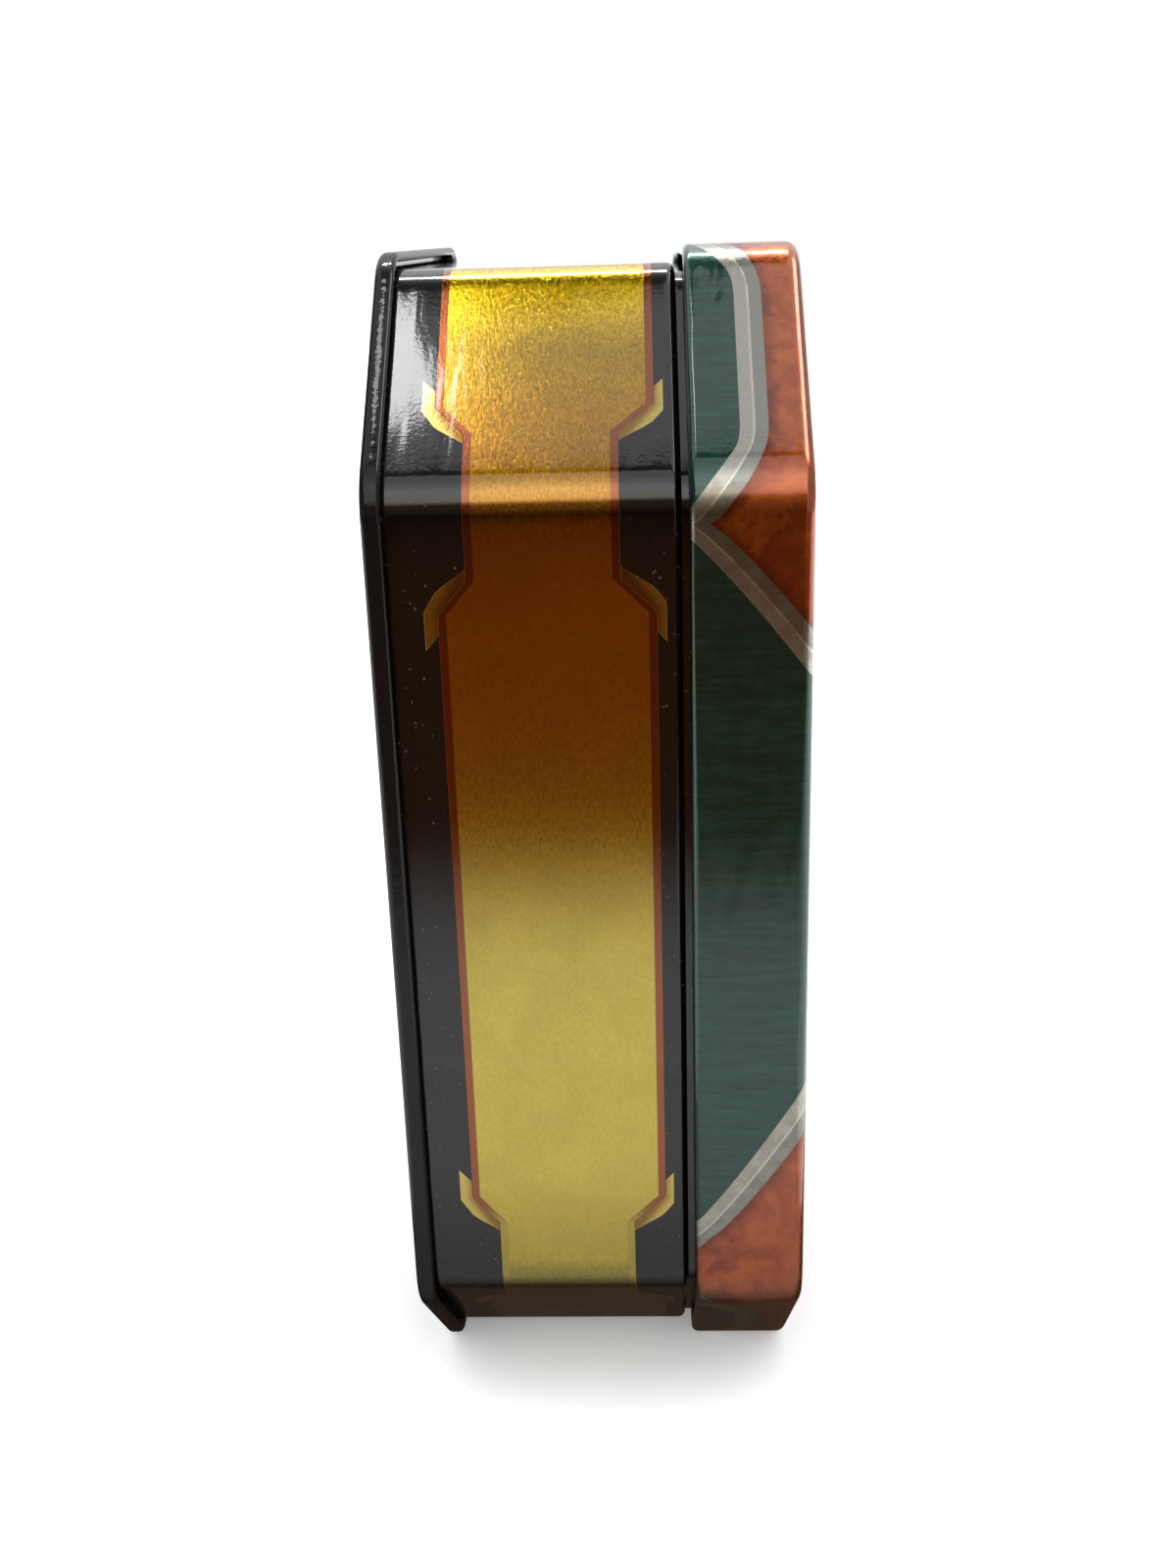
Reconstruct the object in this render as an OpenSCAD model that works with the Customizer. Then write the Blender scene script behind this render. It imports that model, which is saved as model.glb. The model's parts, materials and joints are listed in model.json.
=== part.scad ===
// Card game tin with a hinged lid, standing on one short end.
// The tin is an eight-sided sheet metal box. Its back panel is seamed to the body wall,
// its lid swings like a door on two pin hinges, and a formed tray inside holds the cards.
// Each sheet section is drawn as (out, depth): "out" is the distance outwards from the lid's
// outer face, so it is below zero inside the lid, and "depth" is measured from the back rim.

/* [Tin] */
// Overall height, standing on the short end
tin_h = 195; // [188:1:230]
// Overall width, across the long sides
tin_w = 145; // [144:1:180]
// Overall depth, from the back rim to the front of the lid
tin_d = 63.5; // [60:0.5:80]
// Leg of the cut corners, along each side
chamfer = 31; // [26:0.5:34]
// Outer radius where two sides meet
corner_r = 11; // [10.6:0.2:14]
// How far the lid and the back rim stand out from the body wall
edge_proud = 2.6; // [2.5:0.1:3.4]

/* [Sheet metal] */
// Thickness of the tinplate
sheet = 0.3; // [0.24:0.02:0.34]
// Depth of the lid's skirt
lid_d = 17.5; // [14:0.5:20]
// Outer radius between the lid's skirt and its face
lid_edge_r = 2; // [1.4:0.1:3]
// Radius of the curl at the lid's open edge
lid_curl_r = 1.1; // [0.9:0.05:1.2]
// Width of the flat frame round the lid's face
frame_w = 8; // [6:0.5:8.5]
// How far the lid's face is set in inside that frame
face_in = 0.8; // [0.4:0.1:1.2]
// Step from the body wall down to the neck under the lid
neck_step = 1.3; // [1.2:0.1:1.6]
// Bare gap between the body's shoulder and the lid
neck_gap = 1.2; // [1:0.1:1.8]
// Room between the top of the neck and the front of the lid
neck_room = 3; // [2.6:0.2:5]
// Radius of the curl at the top of the neck
neck_curl_r = 1; // [0.8:0.1:1.1]
// Depth of the seamed back rim
rim_h = 3; // [2.6:0.1:4]
// Radius of the two rounded edges of the back rim
rim_r = 1.2; // [1:0.05:1.4]
// How far the back panel is set in from the rim
panel_in = 3.6; // [3.2:0.1:5]

/* [Hinges] */
// Width of each hinge
hinge_w = 30; // [26:1:36]
// Height of each hinge above or below the middle of the tin
hinge_at = 40; // [26:1:42]
// Height of a hinge leaf
leaf_h = 10; // [9:0.5:12]
// Thickness of a hinge leaf
leaf_t = 0.35; // [0.3:0.01:0.4]
// Radius of the hinge wire
pin_r = 0.55; // [0.45:0.05:0.6]
// Running clearance of the wire in its knuckles
pin_clear = 0.05; // [0.03:0.01:0.08]
// Radius of a rivet's shank
rivet_r = 1; // [0.8:0.05:1.2]

/* [Contents] */
// Width of a card
card_w = 59; // [56:0.5:59]
// Height of a card
card_h = 86; // [80:1:88]
// Thickness of a card
card_t = 0.32; // [0.28:0.02:0.36]
// Thickness of a filled booster pack
pack_t = 7; // [5:0.5:8]
// Slack in a booster pack's length, past the card and the two crimped ends
pack_slack = 6; // [2:0.5:8]
// Thickness of the folded rules leaflet
leaflet_t = 1; // [0.6:0.1:1.4]
// Thickness of the tray's plastic
tray_t = 0.5; // [0.4:0.05:0.7]
// Room between the tray and the front of the lid
tray_room = 7.5; // [7.5:0.5:12]

/* [Hidden] */
$fn = 64;

FACET = 30; // largest turn in one bend of a sheet's section
TURN = 45; // angle between one side and the next
SIDES = 8;
LAP = 0.05; // how far shapes that join run into each other
CUT = 1; // how far a cutter runs past what it cuts

// Outline: the centres of the eight rounded corners, anticlockwise from the right
half_w = tin_w / 2;
half_h = tin_h / 2;
corner_back = round(100 * corner_r * (sqrt(2) - 1)) / 100; // in round hundredths, so the sweep's ends meet
side_x = half_w - corner_r;
side_y = half_h - chamfer - corner_back;
end_x = half_w - chamfer - corner_back;
end_y = half_h - corner_r;
CORNERS = [
    [side_x, side_y], [end_x, end_y], [-end_x, end_y], [-side_x, side_y],
    [-side_x, -side_y], [-end_x, -end_y], [end_x, -end_y], [side_x, -side_y]
];
AWAY = [[1, 0], [1, 1], [0, 1], [-1, 1]]; // which way the first four sides face
slant_trim = 0.00045; // its square is what a slanted side loses
core_r = 1; // size of the flat core's corners
core_lap = 0.6; // how far a swept plate runs in over the flat core
core_out = core_r - core_lap - corner_r;

// Levels, measured as "out"
wall_out = -edge_proud;
half_t = sheet / 2;
neck_bend_r = 0.3;
neck_out = wall_out - neck_step - neck_bend_r + half_t;
chuck_out = wall_out - 2 * sheet;
tray_gap = 0.9; // clear of the curl, so the tray lifts out
tray_out = neck_out - 2 * neck_curl_r - tray_gap;

// Depths
lid_edge_d = tin_d - lid_d;
shoulder_d = lid_edge_d - neck_gap - neck_step;
neck_foot_d = shoulder_d + neck_step - half_t + neck_bend_r;
neck_top_d = tin_d - neck_room;
NECK_CURL = 250; // how far the neck's top edge curls inwards
LID_CURL = 250; // how far the lid's open edge curls inwards
panel_d = panel_in + sheet;
panel_step = 0.6;
panel_step_out = -7.5;
STEP_TURN = 45; // slope of a step in a plate
step_r = 0.4;
tray_d = tin_d - tray_room;

// Seam at the back rim
hook_gap = 0.05;
flange_d = sheet + hook_gap;
body_bend_r = rim_r - flange_d;
hook_room = 0.7; // from the end of the wall's hook to the fold of the rim
body_hook_d = rim_h - hook_room;
chuck_bend_r = 0.45;
cover_hook_mid = -1.35;
cover_hook_d = 1.3;

// Hinge
knuckle_in_r = pin_r + pin_clear;
knuckle_r = knuckle_in_r + leaf_t;
knuckle_clear = 0.3;
knuckle_gap = 0.3;
axis_out = wall_out + knuckle_clear + knuckle_r;
axis_d = lid_edge_d - knuckle_clear - LAP - knuckle_r;
lid_knuckle_w = hinge_w / 2;
body_knuckle_w = (hinge_w - lid_knuckle_w) / 2 - knuckle_gap;
jog_l = knuckle_r + knuckle_clear;
leaf_lift = 0.6; // from the lid's open edge to where its leaf lies flat
lid_leaf_d = lid_edge_d + leaf_lift;
pin_head_r = 0.85;
pin_head_h = 0.5;
pin_play = 0.05;
rivet_inset = 6; // from a leaf's ends to its rivets
rivet_span = hinge_w - 2 * rivet_inset;
rivet_fit = 0.02;
rivet_head_r = 1.7;
rivet_head_h = 0.7;
rivet_tail_r = rivet_r + 0.5;
rivet_tail_h = 0.5;
rivet_edge = 3.8; // from a leaf's outer edge to its rivets
body_rivet_d = axis_d - leaf_h + rivet_edge;
lid_rivet_d = lid_edge_d + leaf_h - rivet_edge;

// The lid's hinge rivets are all that stands out past the lid, so the origin moves by half of that
centre_shift = -(leaf_t + rivet_head_h) / 2;

// Contents
card_r = 3;
side_room = 0.5;
pouch_side = 1.5; // from a card to the edge of its wrapper
pack_w = card_w + 2 * pouch_side;
crimp_l = 10;
pack_l = card_h + pack_slack + 2 * crimp_l;
crimp_t = 0.5;
pouch_l = pack_l - 2 * crimp_l;
foil_t = 0.3;
packs = 3;
well_w = pack_w + 2 * side_room;
well_l = pack_l + 2 * side_room;
well_spare = 1.5;
well_depth = packs * pack_t + well_spare;
rib_w = 2;
well_x = (well_w + rib_w) / 2;
recess_w = card_w + 2 * side_room;
recess_l = card_h + 2 * side_room;
promo_cards = 5;
recess_spare = 0.6;
recess_depth = leaflet_t + promo_cards * card_t + recess_spare;
finger_r = 9;
finger_out = 3.5;
leaflet_trim = 1;

// Places the tin in its own frame: depth along X, width along Y, standing up along Z
module stand() {
    translate([-tin_d / 2, centre_shift, half_h]) rotate([90, 0, 90]) children();
}

// A slanted side's sine and cosine are rounded up at the sixth digit, which makes it larger by two
// parts in ten million. Two scalings bring it back, so that it meets its corners without a step
module slanted_true(i) {
    trim = i % 2 * slant_trim;
    scale(1 - trim) scale(1 + trim) children();
}

// Sweeps a section right round the outline: a corner is a turned piece, and a side a straight one,
// which is cut to length at the two corner centres that it joins
module around() {
    for (i = [0 : SIDES - 1]) {
        from = CORNERS[(i + SIDES - 1) % SIDES];
        to = CORNERS[i];
        across = AWAY[i % 4] * (i < 4 ? 1 : -1) * 2 * corner_r;
        translate(to) rotate_extrude(angle = TURN, start = TURN * i) translate([corner_r, 0]) children();
        intersection() {
            translate((from + to) / 2) slanted_true(i) rotate([90, 0, TURN * i])
                linear_extrude(2 * tin_h, center = true) translate([corner_r, 0]) children();
            translate([0, 0, -CUT]) linear_extrude(tin_d + 2 * CUT)
                polygon([from - across, from + across, to + across, to - across]);
        }
    }
}

// Flat middle of a plate whose edge is swept with around()
module core(depth, thick) {
    reach = core_r / cos(TURN / 2);
    translate([0, 0, depth]) linear_extrude(thick)
        polygon([
            for (i = [0 : SIDES - 1])
                CORNERS[i] + reach * [cos(TURN * (i + 0.5)), sin(TURN * (i + 0.5))]
        ]);
}

function ahead(heading) = [cos(heading), sin(heading)];
function aside(heading) = [-sin(heading), cos(heading)];

// Stations [place, heading] along a bent sheet's middle. Each move is [run, turn, radius]: a straight
// run, then a turn to the left, or to the right where it is below zero
function stations(at, heading, moves, i = 0) =
    i == len(moves) ? [[at, heading]] :
    let (
        run = moves[i][0],
        turn = moves[i][1],
        arm = sign(turn) * moves[i][2],
        bend_at = at + run * ahead(heading),
        centre = bend_at + arm * aside(heading),
        steps = ceil(abs(turn) / FACET)
    )
    concat(
        run > 0 ? [[at, heading]] : [],
        [
            for (s = [0 : 1 : steps - 1])
                let (way = heading + turn * s / steps) [centre - arm * aside(way), way]
        ],
        stations(centre - arm * aside(heading + turn), heading + turn, moves, i + 1)
    );

// Section of a bent sheet
module bent_sheet(at, heading, moves) {
    path = stations(at, heading, moves);
    last = len(path) - 1;
    polygon([
        for (p = path) p[0] + half_t * aside(p[1]),
        for (i = [0 : last]) path[last - i][0] - half_t * aside(path[last - i][1])
    ]);
}

// The two half turns and the slope of a step of that height in a plate
function step_slope(rise) = (rise - 2 * step_r * (1 - cos(STEP_TURN))) / sin(STEP_TURN);

// Section of a flat strip of the hinge or the tray
module strip(out_from, out_to, depth_from, depth_to) {
    translate([out_from, depth_from]) square([out_to - out_from, depth_to - depth_from]);
}

// Cutters for the two rivets of a hinge leaf, through the sheet at that depth
module rivet_holes(height, depth, reach) {
    for (s = [-1, 1])
        translate([half_w, height + s * rivet_span / 2, depth]) rotate([0, 90, 0])
            cylinder(h = 2 * reach, r = rivet_r, center = true);
}

module body_wall() {
    hook_at = [body_bend_r - rim_r - half_t, body_hook_d];
    curl_mid_r = neck_curl_r - half_t;
    color([0.08, 0.08, 0.09]) stand() difference() {
        around() bent_sheet(hook_at, -90, [
            [body_hook_d - rim_r, -90, body_bend_r - half_t],
            [edge_proud + sheet - body_bend_r - rim_r, -90, body_bend_r - half_t],
            [shoulder_d - flange_d - body_bend_r, 90, neck_step - half_t],
            [0, -90, neck_bend_r],
            [neck_top_d - neck_curl_r - neck_foot_d, NECK_CURL, curl_mid_r]
        ]);
        for (s = [-1, 1]) rivet_holes(s * hinge_at, body_rivet_d, edge_proud + CUT);
    }
}

module back_panel() {
    fold_r = (half_t - cover_hook_mid) / 2 - half_t;
    fold_d = rim_h - half_t - fold_r;
    flat_out = chuck_out + half_t - chuck_bend_r;
    flat_d = panel_in + half_t;
    step_l = step_slope(panel_step);
    color([0.08, 0.08, 0.09]) stand() {
        around() bent_sheet([cover_hook_mid, cover_hook_d], 90, [
            [fold_d - cover_hook_d, -180, fold_r],
            [fold_d - rim_r, -90, rim_r - half_t],
            [-chuck_out - 2 * rim_r, -90, rim_r - half_t],
            [flat_d - chuck_bend_r - rim_r, 90, chuck_bend_r],
            [flat_out - panel_step_out, -STEP_TURN, step_r],
            [step_l, STEP_TURN, step_r],
            [panel_step_out - core_out - step_l * cos(STEP_TURN) - 2 * step_r * sin(STEP_TURN), 0, 0]
        ]);
        core(panel_in + panel_step, sheet);
    }
}

module lid() {
    step_l = step_slope(face_in);
    frame_in = -frame_w - step_l * cos(STEP_TURN) - 2 * step_r * sin(STEP_TURN);
    color([0.18, 0.34, 0.28]) stand() difference() {
        union() {
            around() bent_sheet([core_out, tin_d - face_in - half_t], 0, [
                [frame_in - core_out, STEP_TURN, step_r],
                [step_l, -STEP_TURN, step_r],
                [frame_w - lid_edge_r, -90, lid_edge_r - half_t],
                [lid_d - lid_edge_r - lid_curl_r, -LID_CURL, lid_curl_r - half_t]
            ]);
            core(tin_d - sheet - face_in, sheet);
        }
        for (s = [-1, 1]) rivet_holes(s * hinge_at, lid_rivet_d, CUT);
    }
}

// Runs a section (out, depth) along the hinge side, centred on a height
module along_hinge(height, width) {
    translate([half_w, height, 0]) rotate([90, 0, 0]) linear_extrude(width, center = true) children();
}

// Section of a leaf's knuckle with the bent strip that leads to it, given as two corner points
module knuckle(foot) {
    difference() {
        union() {
            translate([axis_out, axis_d]) circle(knuckle_r);
            polygon(foot);
        }
        translate([axis_out, axis_d]) circle(knuckle_in_r);
    }
}

module body_leaf(height) {
    top = axis_d - jog_l;
    color([0.12, 0.12, 0.13]) stand() difference() {
        union() {
            along_hinge(height, hinge_w) strip(wall_out, wall_out + leaf_t, axis_d - leaf_h, top);
            for (s = [-1, 1])
                along_hinge(height + s * (hinge_w - body_knuckle_w) / 2, body_knuckle_w)
                    knuckle([
                        [wall_out, top - LAP], [wall_out + leaf_t, top - LAP],
                        [axis_out - knuckle_in_r - LAP, axis_d], [axis_out - knuckle_r + LAP, axis_d]
                    ]);
        }
        rivet_holes(height, body_rivet_d, edge_proud + CUT);
    }
}

module lid_leaf(height) {
    color([0.12, 0.12, 0.13]) stand() difference() {
        union() {
            along_hinge(height, hinge_w) strip(0, leaf_t, lid_leaf_d, lid_edge_d + leaf_h);
            along_hinge(height, lid_knuckle_w)
                knuckle([
                    [axis_out + knuckle_in_r + LAP, axis_d], [axis_out + knuckle_r - LAP, axis_d],
                    [leaf_t, lid_leaf_d + LAP], [0, lid_leaf_d + LAP]
                ]);
        }
        rivet_holes(height, lid_rivet_d, CUT);
    }
}

module hinge_pin(height) {
    reach = hinge_w / 2 + pin_play;
    color([0.7, 0.7, 0.72]) stand() translate([half_w + axis_out, height, axis_d]) rotate([90, 0, 0]) {
        cylinder(h = 2 * reach + 2 * LAP, r = pin_r, center = true);
        for (s = [0, 1])
            mirror([0, 0, s]) translate([0, 0, reach]) cylinder(h = pin_head_h, r = pin_head_r);
    }
}

// Two round-headed rivets that hold a leaf on the sheet whose outer face is at base_out
module rivets(height, depth, base_out) {
    dome_r = (rivet_head_r ^ 2 + rivet_head_h ^ 2) / (2 * rivet_head_h);
    tail_out = -sheet - rivet_fit;
    color([0.7, 0.7, 0.72]) stand()
        for (s = [-1, 1])
            translate([half_w + base_out, height + s * rivet_span / 2, depth]) rotate([0, 90, 0])
                rotate_extrude() {
                    translate([0, tail_out - LAP])
                        square([rivet_r - rivet_fit, leaf_t - tail_out + 2 * LAP]);
                    translate([0, tail_out - rivet_tail_h]) square([rivet_tail_r, rivet_tail_h]);
                    translate([0, leaf_t]) intersection() {
                        translate([0, rivet_head_h - dome_r]) circle(dome_r);
                        square([rivet_head_r, rivet_head_h]);
                    }
                }
}

module upper_hinge_body_leaf() { body_leaf(hinge_at); }
module upper_hinge_lid_leaf() { lid_leaf(hinge_at); }
module upper_hinge_pin() { hinge_pin(hinge_at); }
module upper_hinge_body_rivets() { rivets(hinge_at, body_rivet_d, wall_out); }
module upper_hinge_lid_rivets() { rivets(hinge_at, lid_rivet_d, 0); }
module lower_hinge_body_leaf() { body_leaf(-hinge_at); }
module lower_hinge_lid_leaf() { lid_leaf(-hinge_at); }
module lower_hinge_pin() { hinge_pin(-hinge_at); }
module lower_hinge_body_rivets() { rivets(-hinge_at, body_rivet_d, wall_out); }
module lower_hinge_lid_rivets() { rivets(-hinge_at, lid_rivet_d, 0); }

// A box centred on X and Y that starts at a depth
module block(size_x, size_y, depth, thick) {
    translate([-size_x / 2, -size_y / 2, depth]) cube([size_x, size_y, thick]);
}

// The card compartment, with a round finger notch at each short end
module recess(extra, depth, thick) {
    translate([well_x, 0]) {
        block(recess_w + 2 * extra, recess_l + 2 * extra, depth, thick);
        for (s = [-1, 1])
            translate([0, s * (recess_l / 2 + finger_out - finger_r), depth])
                cylinder(h = thick, r = finger_r + extra);
    }
}

module insert_tray() {
    well_floor = tray_d - well_depth;
    recess_floor = tray_d - recess_depth;
    color([0.1, 0.1, 0.11]) stand() difference() {
        union() {
            around() {
                strip(tray_out - tray_t, tray_out, panel_d, tray_d);
                strip(core_out, tray_out, tray_d - tray_t, tray_d);
            }
            core(tray_d - tray_t, tray_t);
            translate([-well_x, 0])
                block(well_w + 2 * tray_t, well_l + 2 * tray_t, well_floor - tray_t, well_depth + tray_t);
            recess(tray_t, recess_floor - tray_t, recess_depth + tray_t);
        }
        translate([-well_x, 0]) block(well_w, well_l, well_floor, well_depth + CUT);
        recess(0, recess_floor, recess_depth + CUT);
    }
}

// Places a booster pack in the well: the first lies on its floor, its lower end at the well's end
module in_well(i) {
    translate([-well_x, (pack_l - well_l) / 2, tray_d - well_depth + (i - 1) * pack_t]) children();
}

module booster_pack(i, shade) {
    color(shade) stand() in_well(i) difference() {
        union() {
            block(pack_w, pouch_l, 0, pack_t);
            block(pack_w, pack_l, (pack_t - crimp_t) / 2, crimp_t);
        }
        block(pack_w - 2 * foil_t, pouch_l - 2 * foil_t, foil_t, pack_t - 2 * foil_t);
    }
}

module booster_cards(i) {
    color([0.9, 0.88, 0.84]) stand() in_well(i)
        translate([0, foil_t + (card_h - pouch_l) / 2]) block(card_w, card_h, foil_t, pack_t - 2 * foil_t);
}

module booster_pack_1() { booster_pack(1, [0.75, 0.3, 0.12]); }
module booster_pack_2() { booster_pack(2, [0.7, 0.55, 0.15]); }
module booster_pack_3() { booster_pack(3, [0.15, 0.35, 0.3]); }
module booster_cards_1() { booster_cards(1); }
module booster_cards_2() { booster_cards(2); }
module booster_cards_3() { booster_cards(3); }

module rules_leaflet() {
    width = card_w - leaflet_trim;
    height = card_h - leaflet_trim;
    color([0.92, 0.91, 0.88]) stand()
        translate([well_x, (height - recess_l) / 2])
            block(width, height, tray_d - recess_depth, leaflet_t);
}

// A card with round corners; the first lies on the leaflet
module promo_card(i) {
    color([0.35, 0.18, 0.1]) stand()
        translate([well_x, (card_h - recess_l) / 2, tray_d - recess_depth + leaflet_t + (i - 1) * card_t])
            linear_extrude(card_t) {
                square([card_w, card_h - 2 * card_r], center = true);
                square([card_w - 2 * card_r, card_h], center = true);
                for (sx = [-1, 1], sy = [-1, 1])
                    translate([sx * (card_w / 2 - card_r), sy * (card_h / 2 - card_r)]) circle(card_r);
            }
}

module promo_card_1() { promo_card(1); }
module promo_card_2() { promo_card(2); }
module promo_card_3() { promo_card(3); }
module promo_card_4() { promo_card(4); }
module promo_card_5() { promo_card(5); }

body_wall();
back_panel();
lid();
upper_hinge_body_leaf();
upper_hinge_lid_leaf();
upper_hinge_pin();
upper_hinge_body_rivets();
upper_hinge_lid_rivets();
lower_hinge_body_leaf();
lower_hinge_lid_leaf();
lower_hinge_pin();
lower_hinge_body_rivets();
lower_hinge_lid_rivets();
insert_tray();
booster_pack_1();
booster_pack_2();
booster_pack_3();
booster_cards_1();
booster_cards_2();
booster_cards_3();
rules_leaflet();
promo_card_1();
promo_card_2();
promo_card_3();
promo_card_4();
promo_card_5();
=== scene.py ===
"""Card game tin with a hinged lid: its finished pieces, studio and camera."""

import json
from math import atan2, ceil, copysign, cos, pi, radians, sin, sqrt

import bpy
from mathutils import Matrix, Vector, noise

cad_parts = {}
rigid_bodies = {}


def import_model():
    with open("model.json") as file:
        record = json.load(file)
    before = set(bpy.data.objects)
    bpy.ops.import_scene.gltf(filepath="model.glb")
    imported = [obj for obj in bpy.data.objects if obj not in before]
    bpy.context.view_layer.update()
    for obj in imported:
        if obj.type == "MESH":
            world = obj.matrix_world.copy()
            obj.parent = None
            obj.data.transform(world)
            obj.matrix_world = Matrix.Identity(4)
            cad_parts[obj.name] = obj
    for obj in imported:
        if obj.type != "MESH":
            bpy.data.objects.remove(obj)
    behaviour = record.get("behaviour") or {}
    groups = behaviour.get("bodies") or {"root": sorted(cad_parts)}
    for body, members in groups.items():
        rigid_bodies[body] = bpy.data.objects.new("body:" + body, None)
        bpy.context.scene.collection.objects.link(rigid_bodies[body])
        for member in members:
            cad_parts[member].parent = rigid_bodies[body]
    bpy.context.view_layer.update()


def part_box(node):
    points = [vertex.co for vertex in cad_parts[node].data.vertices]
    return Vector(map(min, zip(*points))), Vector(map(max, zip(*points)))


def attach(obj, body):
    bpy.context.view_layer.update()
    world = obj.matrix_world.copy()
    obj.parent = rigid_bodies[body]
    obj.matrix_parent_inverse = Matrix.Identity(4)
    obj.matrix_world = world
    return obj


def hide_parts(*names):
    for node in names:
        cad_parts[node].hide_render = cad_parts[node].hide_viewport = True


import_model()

bl_info = {
    "name": "Card game tin with hinged lid",
    "version": (1, 0, 0),
    "blender": (4, 5, 0),
    "location": "3D View > Sidebar > Card Tin",
    "description": "Makes the printed tin, its lid, hinges, tray, packs, cards and studio",
    "category": "Object",
}

MM = 0.001
LID_LOW, LID_HIGH = (Vector(corner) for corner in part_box("lid"))
BACK_LOW = Vector(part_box("back_panel")[0])
MIDDLE_Y = (LID_LOW.y + LID_HIGH.y) / 2 / MM
MIDDLE_Z = (LID_LOW.z + LID_HIGH.z) / 2 / MM
BACK_X = BACK_LOW.x / MM
# degrees of a bend from point to point, and steps round each of the outline's corners
BEND_STEP = 12.0
CORNER_STEPS = 12
# points kept this close to each bend and each corner, so that the sheet stays flat up to there
HOLD = 0.35
COLUMN_HOLD = 1.0


# ---------------------------------------------------------------- sizes and colours

def length(name, text, size):
    return bpy.props.FloatProperty(name=name, description=text, default=size * MM, min=0.0, unit="LENGTH")


def colour(name, text, value):
    return bpy.props.FloatVectorProperty(
        name=name, description=text, default=value, size=3, min=0.0, max=1.0, subtype="COLOR")


def level(name, text, value):
    return bpy.props.FloatProperty(name=name, description=text, default=value, min=0.0)


class TinSizes(bpy.types.PropertyGroup):
    """Sizes of the tin's sheet metal"""
    width: length("Width", "Across the lid's long sides", (LID_HIGH.y - LID_LOW.y) / MM)
    height: length("Height", "From end to end of the lid", (LID_HIGH.z - LID_LOW.z) / MM)
    depth: length("Depth", "From the back rim to the lid's front face", (LID_HIGH.x - BACK_LOW.x) / MM)
    chamfer: length("Cut corner", "How much each corner of the outline is cut off", 31.0)
    corner: length("Corner radius", "Outer radius of the lid's eight corners", 11.0)
    proud: length("Rim stands proud", "How far the rims stand out from the body wall", 2.6)
    sheet: length("Sheet", "Thickness of the tinplate", 0.3)
    lid_depth: length("Lid skirt", "Depth of the lid from its face to its rear edge", 17.5)
    face_in: length("Face set in", "How far the lid's face lies below its frame", 0.8)
    frame_width: length("Face frame", "Width of the frame round the lid's face", 8.0)
    belt_wide_from: length("Belt, wide, from", "Depth where the gold belt's wide part starts", 11.1)
    belt_wide_to: length("Belt, wide, to", "Depth where the gold belt's wide part ends", 40.1)
    belt_narrow_from: length("Belt, narrow, from", "Depth where the gold belt's narrow part starts", 15.3)
    belt_narrow_to: length("Belt, narrow, to", "Depth where the gold belt's narrow part ends", 35.0)
    belt_edge: length("Belt edge", "Width of the line along both edges of the belt", 1.15)


class TinColours(bpy.types.PropertyGroup):
    """Colours of the tin's print and of what lies inside"""
    gold: colour("Gold belt", "Metal ink of the belt on the long sides", (0.39, 0.30, 0.034))
    # warm gold and top gold paint a reflection into the belt: warmer towards the upper end, yellower at the
    # ends; warm gold, darkened, also edges the pale bands
    warm_gold_and_reflection: colour("Warm gold", "Metal ink of the belt at its upper end", (0.41, 0.185, 0.003))
    top_gold_reflection: colour("Top gold", "Metal ink of the belt towards the tin's ends", (0.44, 0.30, 0.004))
    belt_edge: colour("Belt edge", "Line along both edges of the belt", (0.19, 0.045, 0.007))
    black: colour("Black", "Ground colour of the body", (0.0015, 0.0008, 0.0006))
    pale_gold: colour("Pale gold", "Bands beside the belt and lattice of the lid", (0.40, 0.30, 0.06))
    green: colour("Green", "Ground colour of the lid", (0.0035, 0.027, 0.018))
    red: colour("Red", "Mottled border of the lid", (0.15, 0.016, 0.005))
    orange: colour("Orange", "Lights in the mottled border", (0.30, 0.065, 0.010))
    silver: colour("Silver", "Double band between the lid's colours", (0.28, 0.265, 0.222))
    tray: colour("Tray", "Formed plastic of the insert", (0.012, 0.012, 0.013))


class StageSettings(bpy.types.PropertyGroup):
    """Camera and lights of the studio"""
    focal: level("Focal length", "In widths of the frame", 1622.66 / 1200)
    top_light: level("Overhead panel", "Its brightness", 1.3)
    rear_light: level("Rear light", "Its power in watts", 8.0)
    side_light: level("Side strip", "Its power in watts", 0.14)
    left_light: level("Left lamp", "Its power in watts", 0.35)
    right_light: level("Right lamp", "Its power in watts", 3.2)
    sky: level("Surroundings", "Brightness near the horizon", 1.1)


def sizes():
    return bpy.context.scene.tin_sizes


def colours():
    return bpy.context.scene.tin_colours


# ---------------------------------------------------------------- modelling by hand

def put_down():
    """Back to object mode with nothing selected."""
    if bpy.context.object and bpy.context.object.mode != "OBJECT":
        bpy.ops.object.mode_set(mode="OBJECT")
    bpy.ops.object.select_all(action="DESELECT")


def pick(piece, points):
    """Selects these points of a piece in edit mode, with the edges and faces between them."""
    bpy.ops.object.mode_set(mode="EDIT")
    bpy.ops.mesh.select_mode(type="VERT")
    bpy.ops.mesh.select_all(action="DESELECT")
    bpy.ops.object.mode_set(mode="OBJECT")
    for index in points:
        piece.data.vertices[index].select = True
    bpy.ops.object.mode_set(mode="EDIT")


def extrude(step):
    bpy.ops.mesh.extrude_region_move(TRANSFORM_OT_translate={"value": step})


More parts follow.
